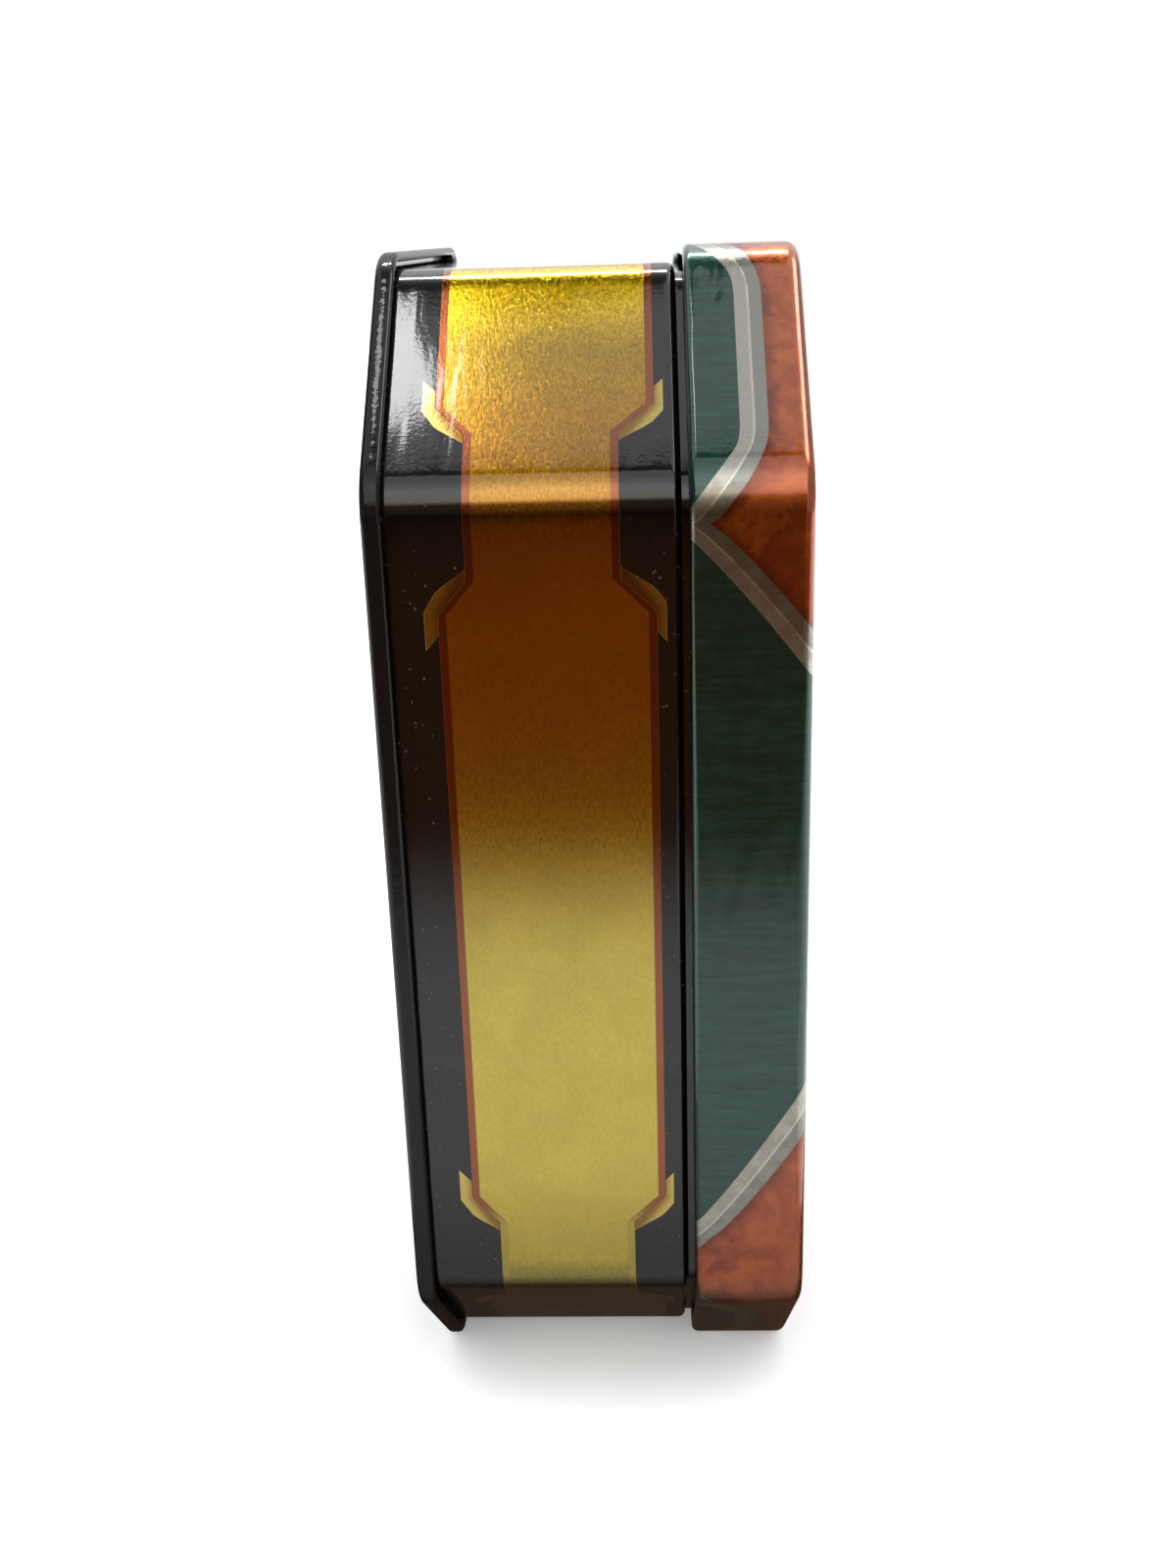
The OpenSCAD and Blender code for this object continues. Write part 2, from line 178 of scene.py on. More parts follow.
def along_sheet(start, heading, moves, sheet):
    """Left and right face of a sheet bent along these moves: out, depth and distance gone of its points."""
    # a move is a straight run, then a turn in degrees and the radius of its bend
    x, y = start
    turned = radians(heading)
    gone = 0.0
    middle = [(x, y, turned, gone)]
    for run, turn, radius in moves:
        if run > 1e-6:
            stops = [HOLD, run - HOLD, run] if run > 4 * HOLD else [run]
            for stop in stops:
                middle.append((x + cos(turned) * stop, y + sin(turned) * stop, turned, gone + stop))
            x, y, turned, gone = middle[-1]
        if turn:
            arm = copysign(radius, turn)
            centre_x, centre_y = x - sin(turned) * arm, y + cos(turned) * arm
            steps = max(2, ceil(abs(turn) / BEND_STEP))
            for step in range(1, steps + 1):
                bent = turned + radians(turn) * step / steps
                middle.append((centre_x + sin(bent) * arm, centre_y - cos(bent) * arm, bent,
                               gone + radius * radians(abs(turn)) * step / steps))
            x, y, turned, gone = middle[-1]
    half = sheet / 2
    left = [(x - sin(bent) * half, y + cos(bent) * half, far) for x, y, bent, far in middle]
    right = [(x + sin(bent) * half, y - cos(bent) * half, far) for x, y, bent, far in middle]
    return left, right


def corner_centres(s):
    """Centres of the two corners of a quarter, seen from the outline's middle, in millimetres."""
    half_w, half_h, cut, r = s.width / 2 / MM, s.height / 2 / MM, s.chamfer / MM, s.corner / MM
    flat = r * (sqrt(2) - 1)
    return (half_w - r, half_h - cut - flat), (half_w - cut - flat, half_h - r)


def place_on_side(s, out, depth):
    """A section's point at the middle of the near long side."""
    return Vector((BACK_X + depth, MIDDLE_Y - s.width / 2 / MM - out, MIDDLE_Z)) * MM


def draw_section(name, s, outer, inner, closed):
    """Draws a sheet's section point by point: along its outer face and back along its inner face."""
    chain = [point + (1.0,) for point in outer] + [point + (0.0,) for point in reversed(inner)]
    if not closed:
        chain = [point + (0.0,) for point in inner] + [point + (1.0,) for point in reversed(outer)]
    put_down()
    spots = [place_on_side(s, out, depth) for out, depth, *_ in chain]
    bpy.ops.mesh.primitive_plane_add(size=MM, location=spots[0])
    piece = bpy.context.object
    piece.name = piece.data.name = name
    bpy.ops.object.mode_set(mode="EDIT")
    bpy.ops.mesh.select_all(action="SELECT")
    bpy.ops.mesh.merge(type="CENTER")
    for here, there in zip(spots, spots[1:]):
        extrude(there - here)
    if closed:
        bpy.ops.object.mode_set(mode="OBJECT")
        pick(piece, (0, len(spots) - 1))
        bpy.ops.mesh.edge_face_add()
    bpy.ops.object.mode_set(mode="OBJECT")
    layout = piece.data.attributes.new("layout", "FLOAT_VECTOR", "POINT")
    for value, (*_, far, skin) in zip(layout.data, chain):
        value.vector = (0.0, far, skin)
    return piece


def carry_round(s):
    """Carries the section round the tin: along each side and round each corner, back to its start."""
    (side_y, side_z), (end_y, end_z) = corner_centres(s)
    slant = (side_y - end_y) * sqrt(2)
    runs = [side_z, slant, 2 * end_y, slant, 2 * side_z, slant, 2 * end_y, slant, side_z]
    centres = [(-side_y, side_z), (-end_y, end_z), (end_y, end_z), (side_y, side_z)]
    centres += [(-y, -z) for y, z in centres]
    bpy.ops.object.mode_set(mode="EDIT")
    bpy.ops.mesh.select_mode(type="VERT")
    bpy.ops.mesh.select_all(action="SELECT")
    for index, run in enumerate(runs):
        turned = radians(45 * index)
        ahead = Vector((0, sin(turned), cos(turned)))
        stops = [COLUMN_HOLD, run / 2, run - COLUMN_HOLD, run]
        if index == 0:
            stops = stops[2:]
        if index == len(runs) - 1:
            stops = [COLUMN_HOLD, run]
        gone = 0.0
        for stop in stops:
            extrude(ahead * (stop - gone) * MM)
            gone = stop
        if index < len(centres):
            y, z = centres[index]
            bpy.ops.mesh.spin(steps=CORNER_STEPS, dupli=False, use_auto_merge=False, angle=radians(45),
                              center=Vector((0, MIDDLE_Y + y, MIDDLE_Z + z)) * MM, axis=(1, 0, 0))
    bpy.ops.mesh.select_all(action="SELECT")
    bpy.ops.mesh.remove_doubles(threshold=1e-6)


def fill_core(piece, s):
    """Closes the flat middle of a panel on both faces of its sheet."""
    bpy.ops.object.mode_set(mode="OBJECT")
    reach = s.corner / MM + CORE_OUT + 0.01
    (side_y, side_z), (_, end_z) = corner_centres(s)
    rims = {}
    for vertex in piece.data.vertices:
        x, y, z = (vertex.co + piece.location) / MM
        y, z = abs(y - MIDDLE_Y), abs(z - MIDDLE_Z)
        slanted = ((y - side_y) + (z - side_z)) / sqrt(2)
        if y < side_y + reach and z < end_z + reach and slanted < reach:
            rims.setdefault(round(x, 1), []).append(vertex.index)
    for rim in rims.values():
        pick(piece, rim)
        bpy.ops.mesh.edge_face_add()
        bpy.ops.object.mode_set(mode="OBJECT")
    bpy.ops.object.mode_set(mode="EDIT")


def spread_layout(piece, s, edge):
    """Writes how far round the quarter each point lies, and how far in from the front edge."""
    (side_y, side_z), (end_y, end_z) = corner_centres(s)
    wall = (s.corner - s.proud) / MM
    arc = wall * pi / 4
    slant = (side_y - end_y) * sqrt(2)
    layout = piece.data.attributes["layout"].data
    for vertex, value in zip(piece.data.vertices, layout):
        y, z = abs(vertex.co.y / MM - MIDDLE_Y), abs(vertex.co.z / MM - MIDDLE_Z)
        over = ((z - side_z) - (y - side_y)) / sqrt(2)
        if z <= side_z:
            round_it = z
        elif over <= 0:
            round_it = side_z + wall * atan2(z - side_z, y - side_y)
        elif over <= slant:
            round_it = side_z + arc + over
        elif y >= end_y:
            round_it = side_z + arc + slant + wall * (atan2(z - end_z, y - end_y) - pi / 4)
        else:
            round_it = side_z + 2 * arc + slant + end_y - y
        value.vector = (round_it, edge - value.vector.y, value.vector.z)


def finish_sheet(piece, s, paints, body, stands_for, edge=0.0):
    """Turns the faces outwards, gives each its finish, hides the part the piece stands for and attaches the
    piece to its body.
    """
    bpy.ops.mesh.select_all(action="SELECT")
    bpy.ops.mesh.normals_make_consistent(inside=False)
    put_down()
    piece.select_set(True)
    bpy.context.view_layer.objects.active = piece
    bpy.ops.object.transform_apply(location=True, rotation=True, scale=True)
    bpy.ops.object.shade_smooth_by_angle(angle=radians(35))
    spread_layout(piece, s, edge)
    skin = [value.vector.z for value in piece.data.attributes["layout"].data]
    for paint in paints:
        piece.data.materials.append(paint)
    for face in piece.data.polygons:
        printed = all(skin[index] > 0.5 for index in face.vertices)
        face.material_index = 0 if printed else len(paints) - 1
    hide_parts(stands_for)
    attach(piece, body)


# ---------------------------------------------------------------- finishes

class Number:
    """A number that a material works out at each point; sums, products and abs() add its nodes."""

    def __init__(self, nodes, socket):
        self.nodes, self.socket = nodes, socket

    def __add__(self, other):
        return self.nodes.math("ADD", self, other)

    def __radd__(self, other):
        return self.nodes.math("ADD", other, self)

    def __sub__(self, other):
        return self.nodes.math("SUBTRACT", self, other)

    def __rsub__(self, other):
        return self.nodes.math("SUBTRACT", other, self)

    def __mul__(self, other):
        return self.nodes.math("MULTIPLY", self, other)

    def __truediv__(self, other):
        return self.nodes.math("DIVIDE", self, other)

    def __abs__(self):
        return self.nodes.math("ABSOLUTE", self)


class Nodes:
    """The nodes of a material or of the world, added from left to right."""

    def __init__(self, owner, coordinates="Object"):
        owner.use_nodes = True
        self.tree = owner.node_tree
        self.tree.nodes.clear()
        self.place = self.node("TexCoord", ())[coordinates]

    def feed(self, socket, value):
        if isinstance(value, Number):
            value = value.socket
        if isinstance(value, bpy.types.NodeSocket):
            self.tree.links.new(value, socket)
        elif socket.type == "RGBA":
            socket.default_value = (*value[:3], 1.0)
        else:
            socket.default_value = value

    def node(self, kind, values, **settings):
        """Adds a node with these settings, feeds its sockets by number or name and gives its outputs."""
        node = self.tree.nodes.new("ShaderNode" + kind)
        for name, value in settings.items():
            setattr(node, name, value)
        for place, value in values.items() if isinstance(values, dict) else enumerate(values):
            self.feed(node.inputs[place], value)
        return node.outputs

    def math(self, operation, *values, clamp=False):
        return Number(self, self.node("Math", values, operation=operation, use_clamp=clamp)[0])

    def larger(self, first, second):
        return self.math("MAXIMUM", first, second)

    def smaller(self, first, second):
        return self.math("MINIMUM", first, second)

    def zigzag(self, value, height):
        """Rises to the height and falls back to nothing, over and over."""
        return self.math("PINGPONG", value, height)

    def scaled(self, value, by):
        """A colour or a place times one number, or times a number for each of its parts."""
        by = self.join(by, by, by) if isinstance(by, Number) else by
        return self.node("VectorMath", (value, by), operation="MULTIPLY")["Vector"]

    def distance(self, first, second=(0.0, 0.0, 0.0)):
        return Number(self, self.node("VectorMath", (first, second), operation="DISTANCE")["Value"])

    def split(self, value):
        return [Number(self, part) for part in self.node("SeparateXYZ", (value,))]

    def join(self, x, y, z=0.0):
        return self.node("CombineXYZ", (x, y, z))[0]

    def layout(self):
        """The sheet's own attribute: place round the quarter, distance in from the front edge, skin."""
        return self.split(self.node("Attribute", (), attribute_name="layout")["Vector"])

    def ease(self, value, low, high, to_low=0.0, to_high=1.0):
        values = (value, low, high, to_low, to_high)
        return Number(self, self.node("MapRange", values, interpolation_type="SMOOTHSTEP")[0])

    def above(self, value, edge, soft=0.12):
        """One where the value is above the edge."""
        return self.ease(value - edge, -soft / 2, soft / 2)

    def between(self, value, low, high, soft=0.12):
        return self.above(value, low, soft) * self.above(value * -1.0, high * -1.0, soft)

    def mix(self, share, first, second):
        """Two colours, mixed."""
        return self.node("Mix", {0: share, 6: first, 7: second}, data_type="RGBA")[2]

    def blend(self, share, first, second):
        """Two numbers, mixed."""
        return Number(self, self.node("Mix", {0: share, 2: first, 3: second}, data_type="FLOAT")[0])

    def noise(self, where, scale, detail=2.0, roughness=0.5, distortion=0.0):
        values = {"Vector": where, "Scale": scale, "Detail": detail, "Roughness": roughness,
                  "Distortion": distortion}
        return Number(self, self.node("TexNoise", values)[0])

    def cells(self, where, scale):
        """Random shade of each small cell."""
        return self.split(self.node("TexVoronoi", {"Vector": where, "Scale": scale})["Color"])[0]

    def bump(self, height, distance, strength):
        return self.node("Bump", {"Height": height, "Distance": distance, "Strength": strength})[0]


class Finish(Nodes):
    """A surface's finish, which knows its place on the tin in millimetres."""

    def __init__(self, name, **settings):
        self.material = bpy.data.materials.new(name)
        super().__init__(self.material)
        self.shader = self.tree.nodes.new("ShaderNodeBsdfPrincipled")
        self.node("OutputMaterial", (self.shader.outputs[0],))
        for key, value in settings.items():
            self.set(key.replace("_", " ").title().replace("Ior", "IOR"), value)
        self.place = self.scaled(self.place, (1 / MM, 1 / MM, 1 / MM))
        x, y, z = self.split(self.place)
        self.depth, self.across, self.up = x - BACK_X, y - MIDDLE_Y, z - MIDDLE_Z

    def set(self, name, value):
        self.feed(self.shader.inputs[name], value)


# most of the noise that serves as grain lies between these values
GRAIN = (0.3, 0.7)
# clear gloss over the print of the body and the lid, with its relief in metres
GLOSS = {"coat_weight": 1.0, "coat_roughness": 0.045, "coat_ior": 1.5, "specular_ior_level": 0.04}
GLOSS_RELIEF, GLOSS_STRENGTH = 0.0006, 0.35
# how far round the quarter the belt changes from the long side's flakes to the slant's, which have stronger
# relief and a painted sparkle in their tone
SIDE_TO_SLANT = (58.0, 66.0)


def toned(paint, share):
    """A colour made darker or lighter."""
    return tuple(part * share for part in paint)


def gloss_waves(f, around_it, waves=1.0):
    """Relief of the clear gloss coat: slow waves and fine creases."""
    slow = f.noise(f.join(f.depth * 0.35, around_it * 0.06), 0.6, 2.0, 0.5, 0.6)
    fine = f.noise(f.place, 1.6, 3.0, 0.6)
    return f.bump(slow * waves + fine * 0.03, GLOSS_RELIEF, GLOSS_STRENGTH)


def outside_belt(f, s, from_corner, ramp_start, ramp_run):
    """How far a point lies outside the belt, which widens along a ramp on each side of a corner."""
    widen = f.math("DIVIDE", from_corner - ramp_start, ramp_run, clamp=True)
    low = f.blend(widen, s.belt_narrow_from / MM, s.belt_wide_from / MM)
    high = f.blend(widen, s.belt_narrow_to / MM, s.belt_wide_to / MM)
    return f.larger(low - f.depth, f.depth - high)


def belt_gold(f, c, around_it, grain, flakes):
    """The belt's ink with flakes: warmer at the top as a painted reflection, darker over the corners as painted
    shade and brighter at the ends as a painted highlight.
    """
    patches = f.noise(f.place, 0.11, 2.0, 0.55, 0.4)
    # flake grain in the ink; its contrast is raised on the slants as painted sparkle
    sparkle = f.ease(grain * 0.5 + flakes * 0.5, 0.28, 0.72, -1.0, 1.0)
    tone = 1.0 + sparkle * f.ease(around_it, *SIDE_TO_SLANT, 0.05, 0.16)
    tone = tone * f.ease(patches, *GRAIN, 0.94, 1.04)
    # painted shade over the corner arcs, and a painted highlight towards the ends
    painted_shade_over_corner = f.ease(around_it, 60.0, 63.0, 1.0, 0.68)
    tone = tone * f.blend(f.ease(around_it, 90.0, 100.0), painted_shade_over_corner, 1.4)
    # painted reflection in the ink's colour: warmer towards the tin's upper end, yellower again towards the end
    # itself
    warm_painted_reflection = f.mix(f.ease(around_it, 68.0, 104.0, 0.0, 0.85), c.warm_gold_and_reflection, c.top_gold_reflection)
    return f.scaled(f.mix(f.ease(f.up, -10.0, 55.0), c.gold, warm_painted_reflection), tone)


def body_print():
    """Black body with a gold belt that is narrower near the cut corners."""
    s, c = sizes(), colours()
    f = Finish("body_print", **GLOSS)
    around_it = f.layout()[0]
    side_z = corner_centres(s)[0][1]
    belt_edge = s.belt_edge / MM
    ramp_start, ramp_run, nearer_side = 11.2, 4.9, 0.9
    corner_mid = side_z + (s.corner - s.proud) / MM * pi / 8 - nearer_side
    from_corner = abs(around_it - corner_mid)
    outside = outside_belt(f, s, from_corner, ramp_start, ramp_run)
    gold = 1.0 - f.above(outside, 0.0)
    edge = f.between(outside, 0.0, belt_edge)

    # a plain pale band beside each ramp, tapered towards the corner and cut off slanting
    band_start, band_run, band_top, band_end, wall_end = 9.0, 6.5, 13.0, 17.6, 42.6
    past_ramp = outside_belt(f, s, from_corner, band_start, band_run)
    reach = f.ease(from_corner, band_start, band_top, belt_edge - 0.4, belt_edge + 2.0)
    cut_off = f.above(band_end, from_corner - past_ramp * 1.1)
    on_wall = f.above(wall_end, f.depth) * cut_off
    band = f.above(reach, past_ramp) * f.above(outside, belt_edge + 0.1) * on_wall
    pale = f.mix(f.ease(past_ramp, 0.6, 2.6), toned(c.warm_gold_and_reflection, 0.45), c.pale_gold)

    grain = f.noise(f.join(f.depth * 2.6, around_it * 0.75), 1.0, 3.0, 0.6)
    flakes = f.cells(f.join(f.depth * 3.8, around_it * 2.0), 1.0)
    dust = f.above(f.cells(f.place, 3.0), 0.993, 0.006)
    ground = f.mix(dust * 0.35, c.black, (0.10, 0.07, 0.06))
    foot_of_belt = f.ease(from_corner, 15.0, 10.0) * f.above(-20.0, f.up, 4.0)
    paint = f.mix(edge, ground, f.mix(foot_of_belt, c.belt_edge, toned(c.gold, 0.8)))
    paint = f.mix(band, paint, pale)
    paint = f.mix(gold, paint, belt_gold(f, c, around_it, grain, flakes))
    f.set("Base Color", paint)
    metal = f.math("ADD", gold, edge + band, clamp=True)
    f.set("Metallic", metal)
    f.set("Roughness", f.blend(metal, 0.34, f.ease(grain, *GRAIN, 0.13, 0.20)))
    relief = (flakes * 0.5 + grain) * metal * f.ease(around_it, *SIDE_TO_SLANT, 0.3, 1.0)
    f.set("Normal", f.bump(relief, 0.00003, 0.5))
    f.set("Coat Normal", gloss_waves(f, around_it, 0.35))
    return f.material


def bare_tin():
    """Unprinted inside of the sheet."""
    f = Finish("bare_tin", metallic=1.0, specular_ior_level=0.5)
    grain = f.noise(f.scaled(f.place, (0.3, 0.3, 6.0)), 1.0, 3.0, 0.6)
    f.set("Base Color", f.mix(f.ease(grain, *GRAIN), (0.50, 0.49, 0.46), (0.62, 0.61, 0.58)))
    f.set("Roughness", f.ease(grain, *GRAIN, 0.26, 0.38))
    f.set("Normal", f.bump(grain, 0.00002, 0.4))
    return f.material


def back_lacquer():
    """Plain gloss black with a faint orange peel."""
    f = Finish("back_lacquer", coat_weight=0.4, coat_roughness=0.05, roughness=0.35,
               specular_ior_level=0.04)
    peel = f.noise(f.place, 0.8, 2.0, 0.5)
    scuffs = f.above(f.noise(f.scaled(f.place, (0.2, 2.2, 0.12)), 1.0, 4.0, 0.7, 1.5), 0.66, 0.05)
    f.set("Base Color", f.mix(scuffs * 0.4, (0.0028, 0.0025, 0.0025), (0.02, 0.018, 0.017)))
    f.set("Coat Normal", f.bump(peel, 0.0003, 0.12))
    return f.material


def off_skirt_band(f, s, around_it):
    """Distance in front of the skirt's band: it slants back to a point at each end of every side and
    arches over the cut corners."""
    (side_y, side_z), (end_y, _) = corner_centres(s)
    back_of_band, arch_height, cap_height, cap_soft = 46.0, 17.5, 9.2, 5.0
    upper_arch, lower_arch, roundness = 19.0, 23.6, 0.84
    # the band's points near the ends of the side and of the slant, from the corners' own places
    upper_point, lower_side_point, lower_slant_point, end_point = -1.0, -7.6, 5.1, 1.6
    bends = (s.corner - s.proud) / MM * pi / 2
    lower = f.above(0.0, f.up, 1.0)
    side_point = f.blend(lower, side_z + upper_point, side_z + lower_side_point)
    slant_start = f.blend(lower, side_z + upper_point, side_z + lower_slant_point)
    slant_end = side_z + (side_y - end_y) * sqrt(2) + bends + end_point
    at_side = f.larger(side_point - around_it, around_it - slant_start)
    at_end = abs(slant_end - around_it)
    arch = f.smaller(at_side, at_end)
    over = f.above(around_it, slant_start) * f.above(slant_end, around_it)
    share = f.larger(arch / f.blend(lower, upper_arch, lower_arch), 0.0)
    rise = f.math("POWER", share, roundness) * arch_height + f.smaller(arch, 0.0)
    capped = f.math("SMOOTH_MIN", rise, cap_height, cap_soft)
    off_band = f.depth - back_of_band - f.blend(over, rise, capped)
    flat = over * f.ease(rise, 5.0, 11.0)
    return off_band * f.blend(flat, 0.76, 1.0)


def crossing_lines(f, y, z, pitch):
    """Distances from two sets of slanting lines that cross each other."""
    return f.zigzag(y + z, pitch), f.zigzag(y - z, pitch)


def lattice_of(f, first, second, half_line):
    """One on either set of lines."""
    return f.larger(f.above(half_line, first), f.above(half_line, second))


def studded_lattice(f, y, z, inward):
    """Lattice of lozenges with a stud at each crossing, inside the face's frames."""
    pitch, lean, half_line, stud, frames = 6.0, 0.62, 0.28, 1.5, 21.0
    first, second = crossing_lines(f, y, z * lean, pitch)
    lines = lattice_of(f, first, second, half_line)
    return f.larger(lines, f.above(stud, first + second)) * f.above(inward, frames)


def lid_print():
    """Green lid with a silver double band and a mottled red border."""
    s, c = sizes(), colours()
    f = Finish("lid_print", **GLOSS)
    around_it = f.layout()[0]
    half_w, half_h, cut = s.width / 2 / MM, s.height / 2 / MM, s.chamfer / MM
    rounding, front_edge, face_from = 3.0, 3.0, 2.2
    # half widths of the skirt's band and its line, and where those of the face lie, in from its outline
    skirt_band, skirt_line, face_band, face_line = 2.0, 0.15, (14.0, 18.0), (15.7, 16.3)
    y, z = abs(f.across), abs(f.up)
    slanted = (y + z - (half_w + half_h - cut)) / sqrt(2)
    outline = f.math("SMOOTH_MAX", y - half_w, z - half_h, rounding)
    outline = f.math("SMOOTH_MAX", outline, slanted, rounding)
    inward = outline * -1.0
    on_face = f.above(f.depth, s.depth / MM - front_edge, 0.1) * f.above(inward, face_from)

    # the skirt has one band, and the face has nested octagons and a lattice
    off_band = off_skirt_band(f, s, around_it)
    red = f.blend(on_face, f.above(off_band, 0.0), f.above(inward * -1.0, -face_band[0]))
    band = f.blend(on_face, f.between(off_band, -skirt_band, skirt_band), f.between(inward, *face_band))
    line = f.blend(on_face, f.between(off_band, -skirt_line, skirt_line), f.between(inward, *face_line))
    lattice = studded_lattice(f, y, z, inward) * on_face

    mottle = f.noise(f.place, 0.085, 5.0, 0.62, 1.2)
    fine = f.noise(f.place, 0.5, 4.0, 0.6, 0.5)
    streaks = f.noise(f.join(f.depth * 0.10, around_it * 1.1, y * 0.1), 1.0, 4.0, 0.65, 0.4)
    green = f.mix(f.ease(streaks, 0.35, 0.70), toned(c.green, 0.85), toned(c.green, 1.55))
    reds = f.mix(f.ease(mottle * 0.75 + fine * 0.25, 0.40, 0.62), c.red, c.orange)
    reds = f.mix(f.ease(f.depth, 52.0, 64.0, 0.0, 0.55), reds, c.orange)
    reds = f.mix(f.ease(mottle, 0.38, 0.22, 0.0, 0.55), reds, toned(c.red, 0.25))
    reds = f.mix(f.ease(off_band, 2.0, 4.2, 0.55, 0.0), reds, toned(c.red, 0.3))
    greener = (c.silver[0] * 0.96, c.silver[1] * 1.02, c.silver[2])
    silver = f.mix(red, c.silver, toned(greener, 0.68))
    silver = f.mix(f.ease(fine, 0.35, 0.65, 0.0, 0.2), silver, (0.0, 0.0, 0.0))
    silver = f.mix(line, silver, toned(c.silver, 1.35))
    paint = f.mix(red, green, reds)
    paint = f.mix(lattice, paint, c.pale_gold)
    paint = f.mix(band, paint, silver)
    f.set("Base Color", paint)
    f.set("Metallic", f.larger(f.larger(band, lattice), f.blend(red, 0.85, 0.92)))
    f.set("Roughness", f.ease(fine, *GRAIN, 0.24, 0.34))
    f.set("Normal", f.bump(fine, 0.00005, 0.2))
    f.set("Coat Normal", gloss_waves(f, around_it))
    return f.material


def simple_finish(name, low, high, scale, rough=(0.35, 0.5), relief=0.00003, strength=0.4, **settings):
    """A colour that wanders between two, with grain in its gloss and relief."""
    f = Finish(name, **settings)
    grain = f.noise(f.place, scale, 4.0, 0.6)
    f.set("Base Color", f.mix(f.ease(grain, *GRAIN), low, high))
    f.set("Roughness", f.ease(grain, *GRAIN, *rough))
    f.set("Normal", f.bump(grain, relief, strength))
    return f.material


def dress(node, material):
    """Gives a carried-over node its finish."""
    piece = bpy.data.objects[node]
    for slot in piece.material_slots:
        slot.link = "OBJECT"
        slot.material = material


# ---------------------------------------------------------------- pieces

# gap between shoulder and lid, the shoulder's outer bend, and the rear rim's bend and height
NECK_GAP = 1.2
NECK_STEP = 1.3
RIM_R = 1.2
RIM_H = 3.0
HALF_SHEET = 0.15
# bend of the steps in the back panel and the lid's face, and where the flat middles are closed
STEP_R = 0.4
CORE_OUT = -10.6


def step_slope(rise, radius):
    """Length of the straight slope between the two bends of a step this high."""
    return (rise - 2 * radius * (1 - cos(pi / 4))) / sin(pi / 4)


def step_reach(slope):
    """How far in a step with this slope carries the sheet."""
    return slope * cos(pi / 4) + 2 * STEP_R * sin(pi / 4)


class TIN_OT_body_wall(bpy.types.Operator):
    """Body wall with its rear hook, shoulder and neck, bent from one sheet"""
    bl_idname = "tin.body_wall"
    bl_label = "Body wall"

    def execute(self, context):
        s = sizes()
        proud, sheet = s.proud / MM, s.sheet / MM
        bend, hook, flange, foot_r, curl_r, under_face = 0.85, 2.3, 0.35, 0.3, 1.0, 3.0
        shoulder = (s.depth - s.lid_depth) / MM - NECK_GAP - NECK_STEP
        neck_foot = shoulder + NECK_STEP - HALF_SHEET + foot_r
        neck_top = s.depth / MM - under_face
        left, right = along_sheet([bend - RIM_R - HALF_SHEET, hook], -90, [
            [hook - RIM_R, -90, bend - HALF_SHEET],
            [proud + sheet - bend - RIM_R, -90, bend - HALF_SHEET],
            [shoulder - flange - bend, 90, NECK_STEP - HALF_SHEET],
            [0, -90, foot_r],
            [neck_top - curl_r - neck_foot, 250, curl_r - HALF_SHEET]], sheet)
        piece = draw_section("tin_body_wall", s, right, left, closed=True)
        carry_round(s)
        finish_sheet(piece, s, [body_print(), bare_tin()], "tin", "body_wall")
        return {"FINISHED"}


class TIN_OT_back_panel(bpy.types.Operator):
    """Back panel, folded over the body's rear hook as a rim"""
    bl_idname = "tin.back_panel"
    bl_label = "Back panel"

    def execute(self, context):
        s = sizes()
        hook_mid, hook_d, chuck_out, chuck_r, panel_in = -1.35, 1.3, -3.2, 0.45, 3.6
        step, step_out = 0.6, -7.5
        fold_r = (HALF_SHEET - hook_mid) / 2 - HALF_SHEET
        fold_d = RIM_H - HALF_SHEET - fold_r
        flat_out = chuck_out + HALF_SHEET - chuck_r
        flat_d = panel_in + HALF_SHEET
        slope = step_slope(step, STEP_R)
        left, right = along_sheet([hook_mid, hook_d], 90, [
            [fold_d - hook_d, -180, fold_r],
            [fold_d - RIM_R, -90, RIM_R - HALF_SHEET],
            [-chuck_out - 2 * RIM_R, -90, RIM_R - HALF_SHEET],
            [flat_d - chuck_r - RIM_R, 90, chuck_r],
            [flat_out - step_out, -45, STEP_R],
            [slope, 45, STEP_R],
            [step_out - CORE_OUT - step_reach(slope), 0, 0]], s.sheet / MM)
        piece = draw_section("tin_back_panel", s, left[::-1], right[::-1], closed=False)
        carry_round(s)
        fill_core(piece, s)
        finish_sheet(piece, s, [back_lacquer()], "tin", "back_panel")
        return {"FINISHED"}


class TIN_OT_lid(bpy.types.Operator):
    """Lid with a set-in face, rounded front edge and a skirt that ends in a curl"""
    bl_idname = "tin.lid"
    bl_label = "Lid"

    def execute(self, context):
        s = sizes()
        edge_r, curl_r, face_in = 2.0, 1.1, s.face_in / MM
        slope = step_slope(face_in, STEP_R)
        flat_run = -s.frame_width / MM - step_reach(slope) - CORE_OUT
        frame_run = s.frame_width / MM - edge_r
        left, right = along_sheet([CORE_OUT, s.depth / MM - face_in - HALF_SHEET], 0, [
            [flat_run, 45, STEP_R],
            [slope, -45, STEP_R],
            [frame_run, -90, edge_r - HALF_SHEET],
            [s.lid_depth / MM - edge_r - curl_r, -250, curl_r - HALF_SHEET]], s.sheet / MM)
        edge = flat_run + slope + frame_run + STEP_R * pi / 2 + (edge_r - HALF_SHEET) * pi / 4
        piece = draw_section("tin_lid", s, left, right, closed=False)
        carry_round(s)
        fill_core(piece, s)
        finish_sheet(piece, s, [lid_print(), bare_tin()], "hinged_lid", "lid", edge)
        return {"FINISHED"}


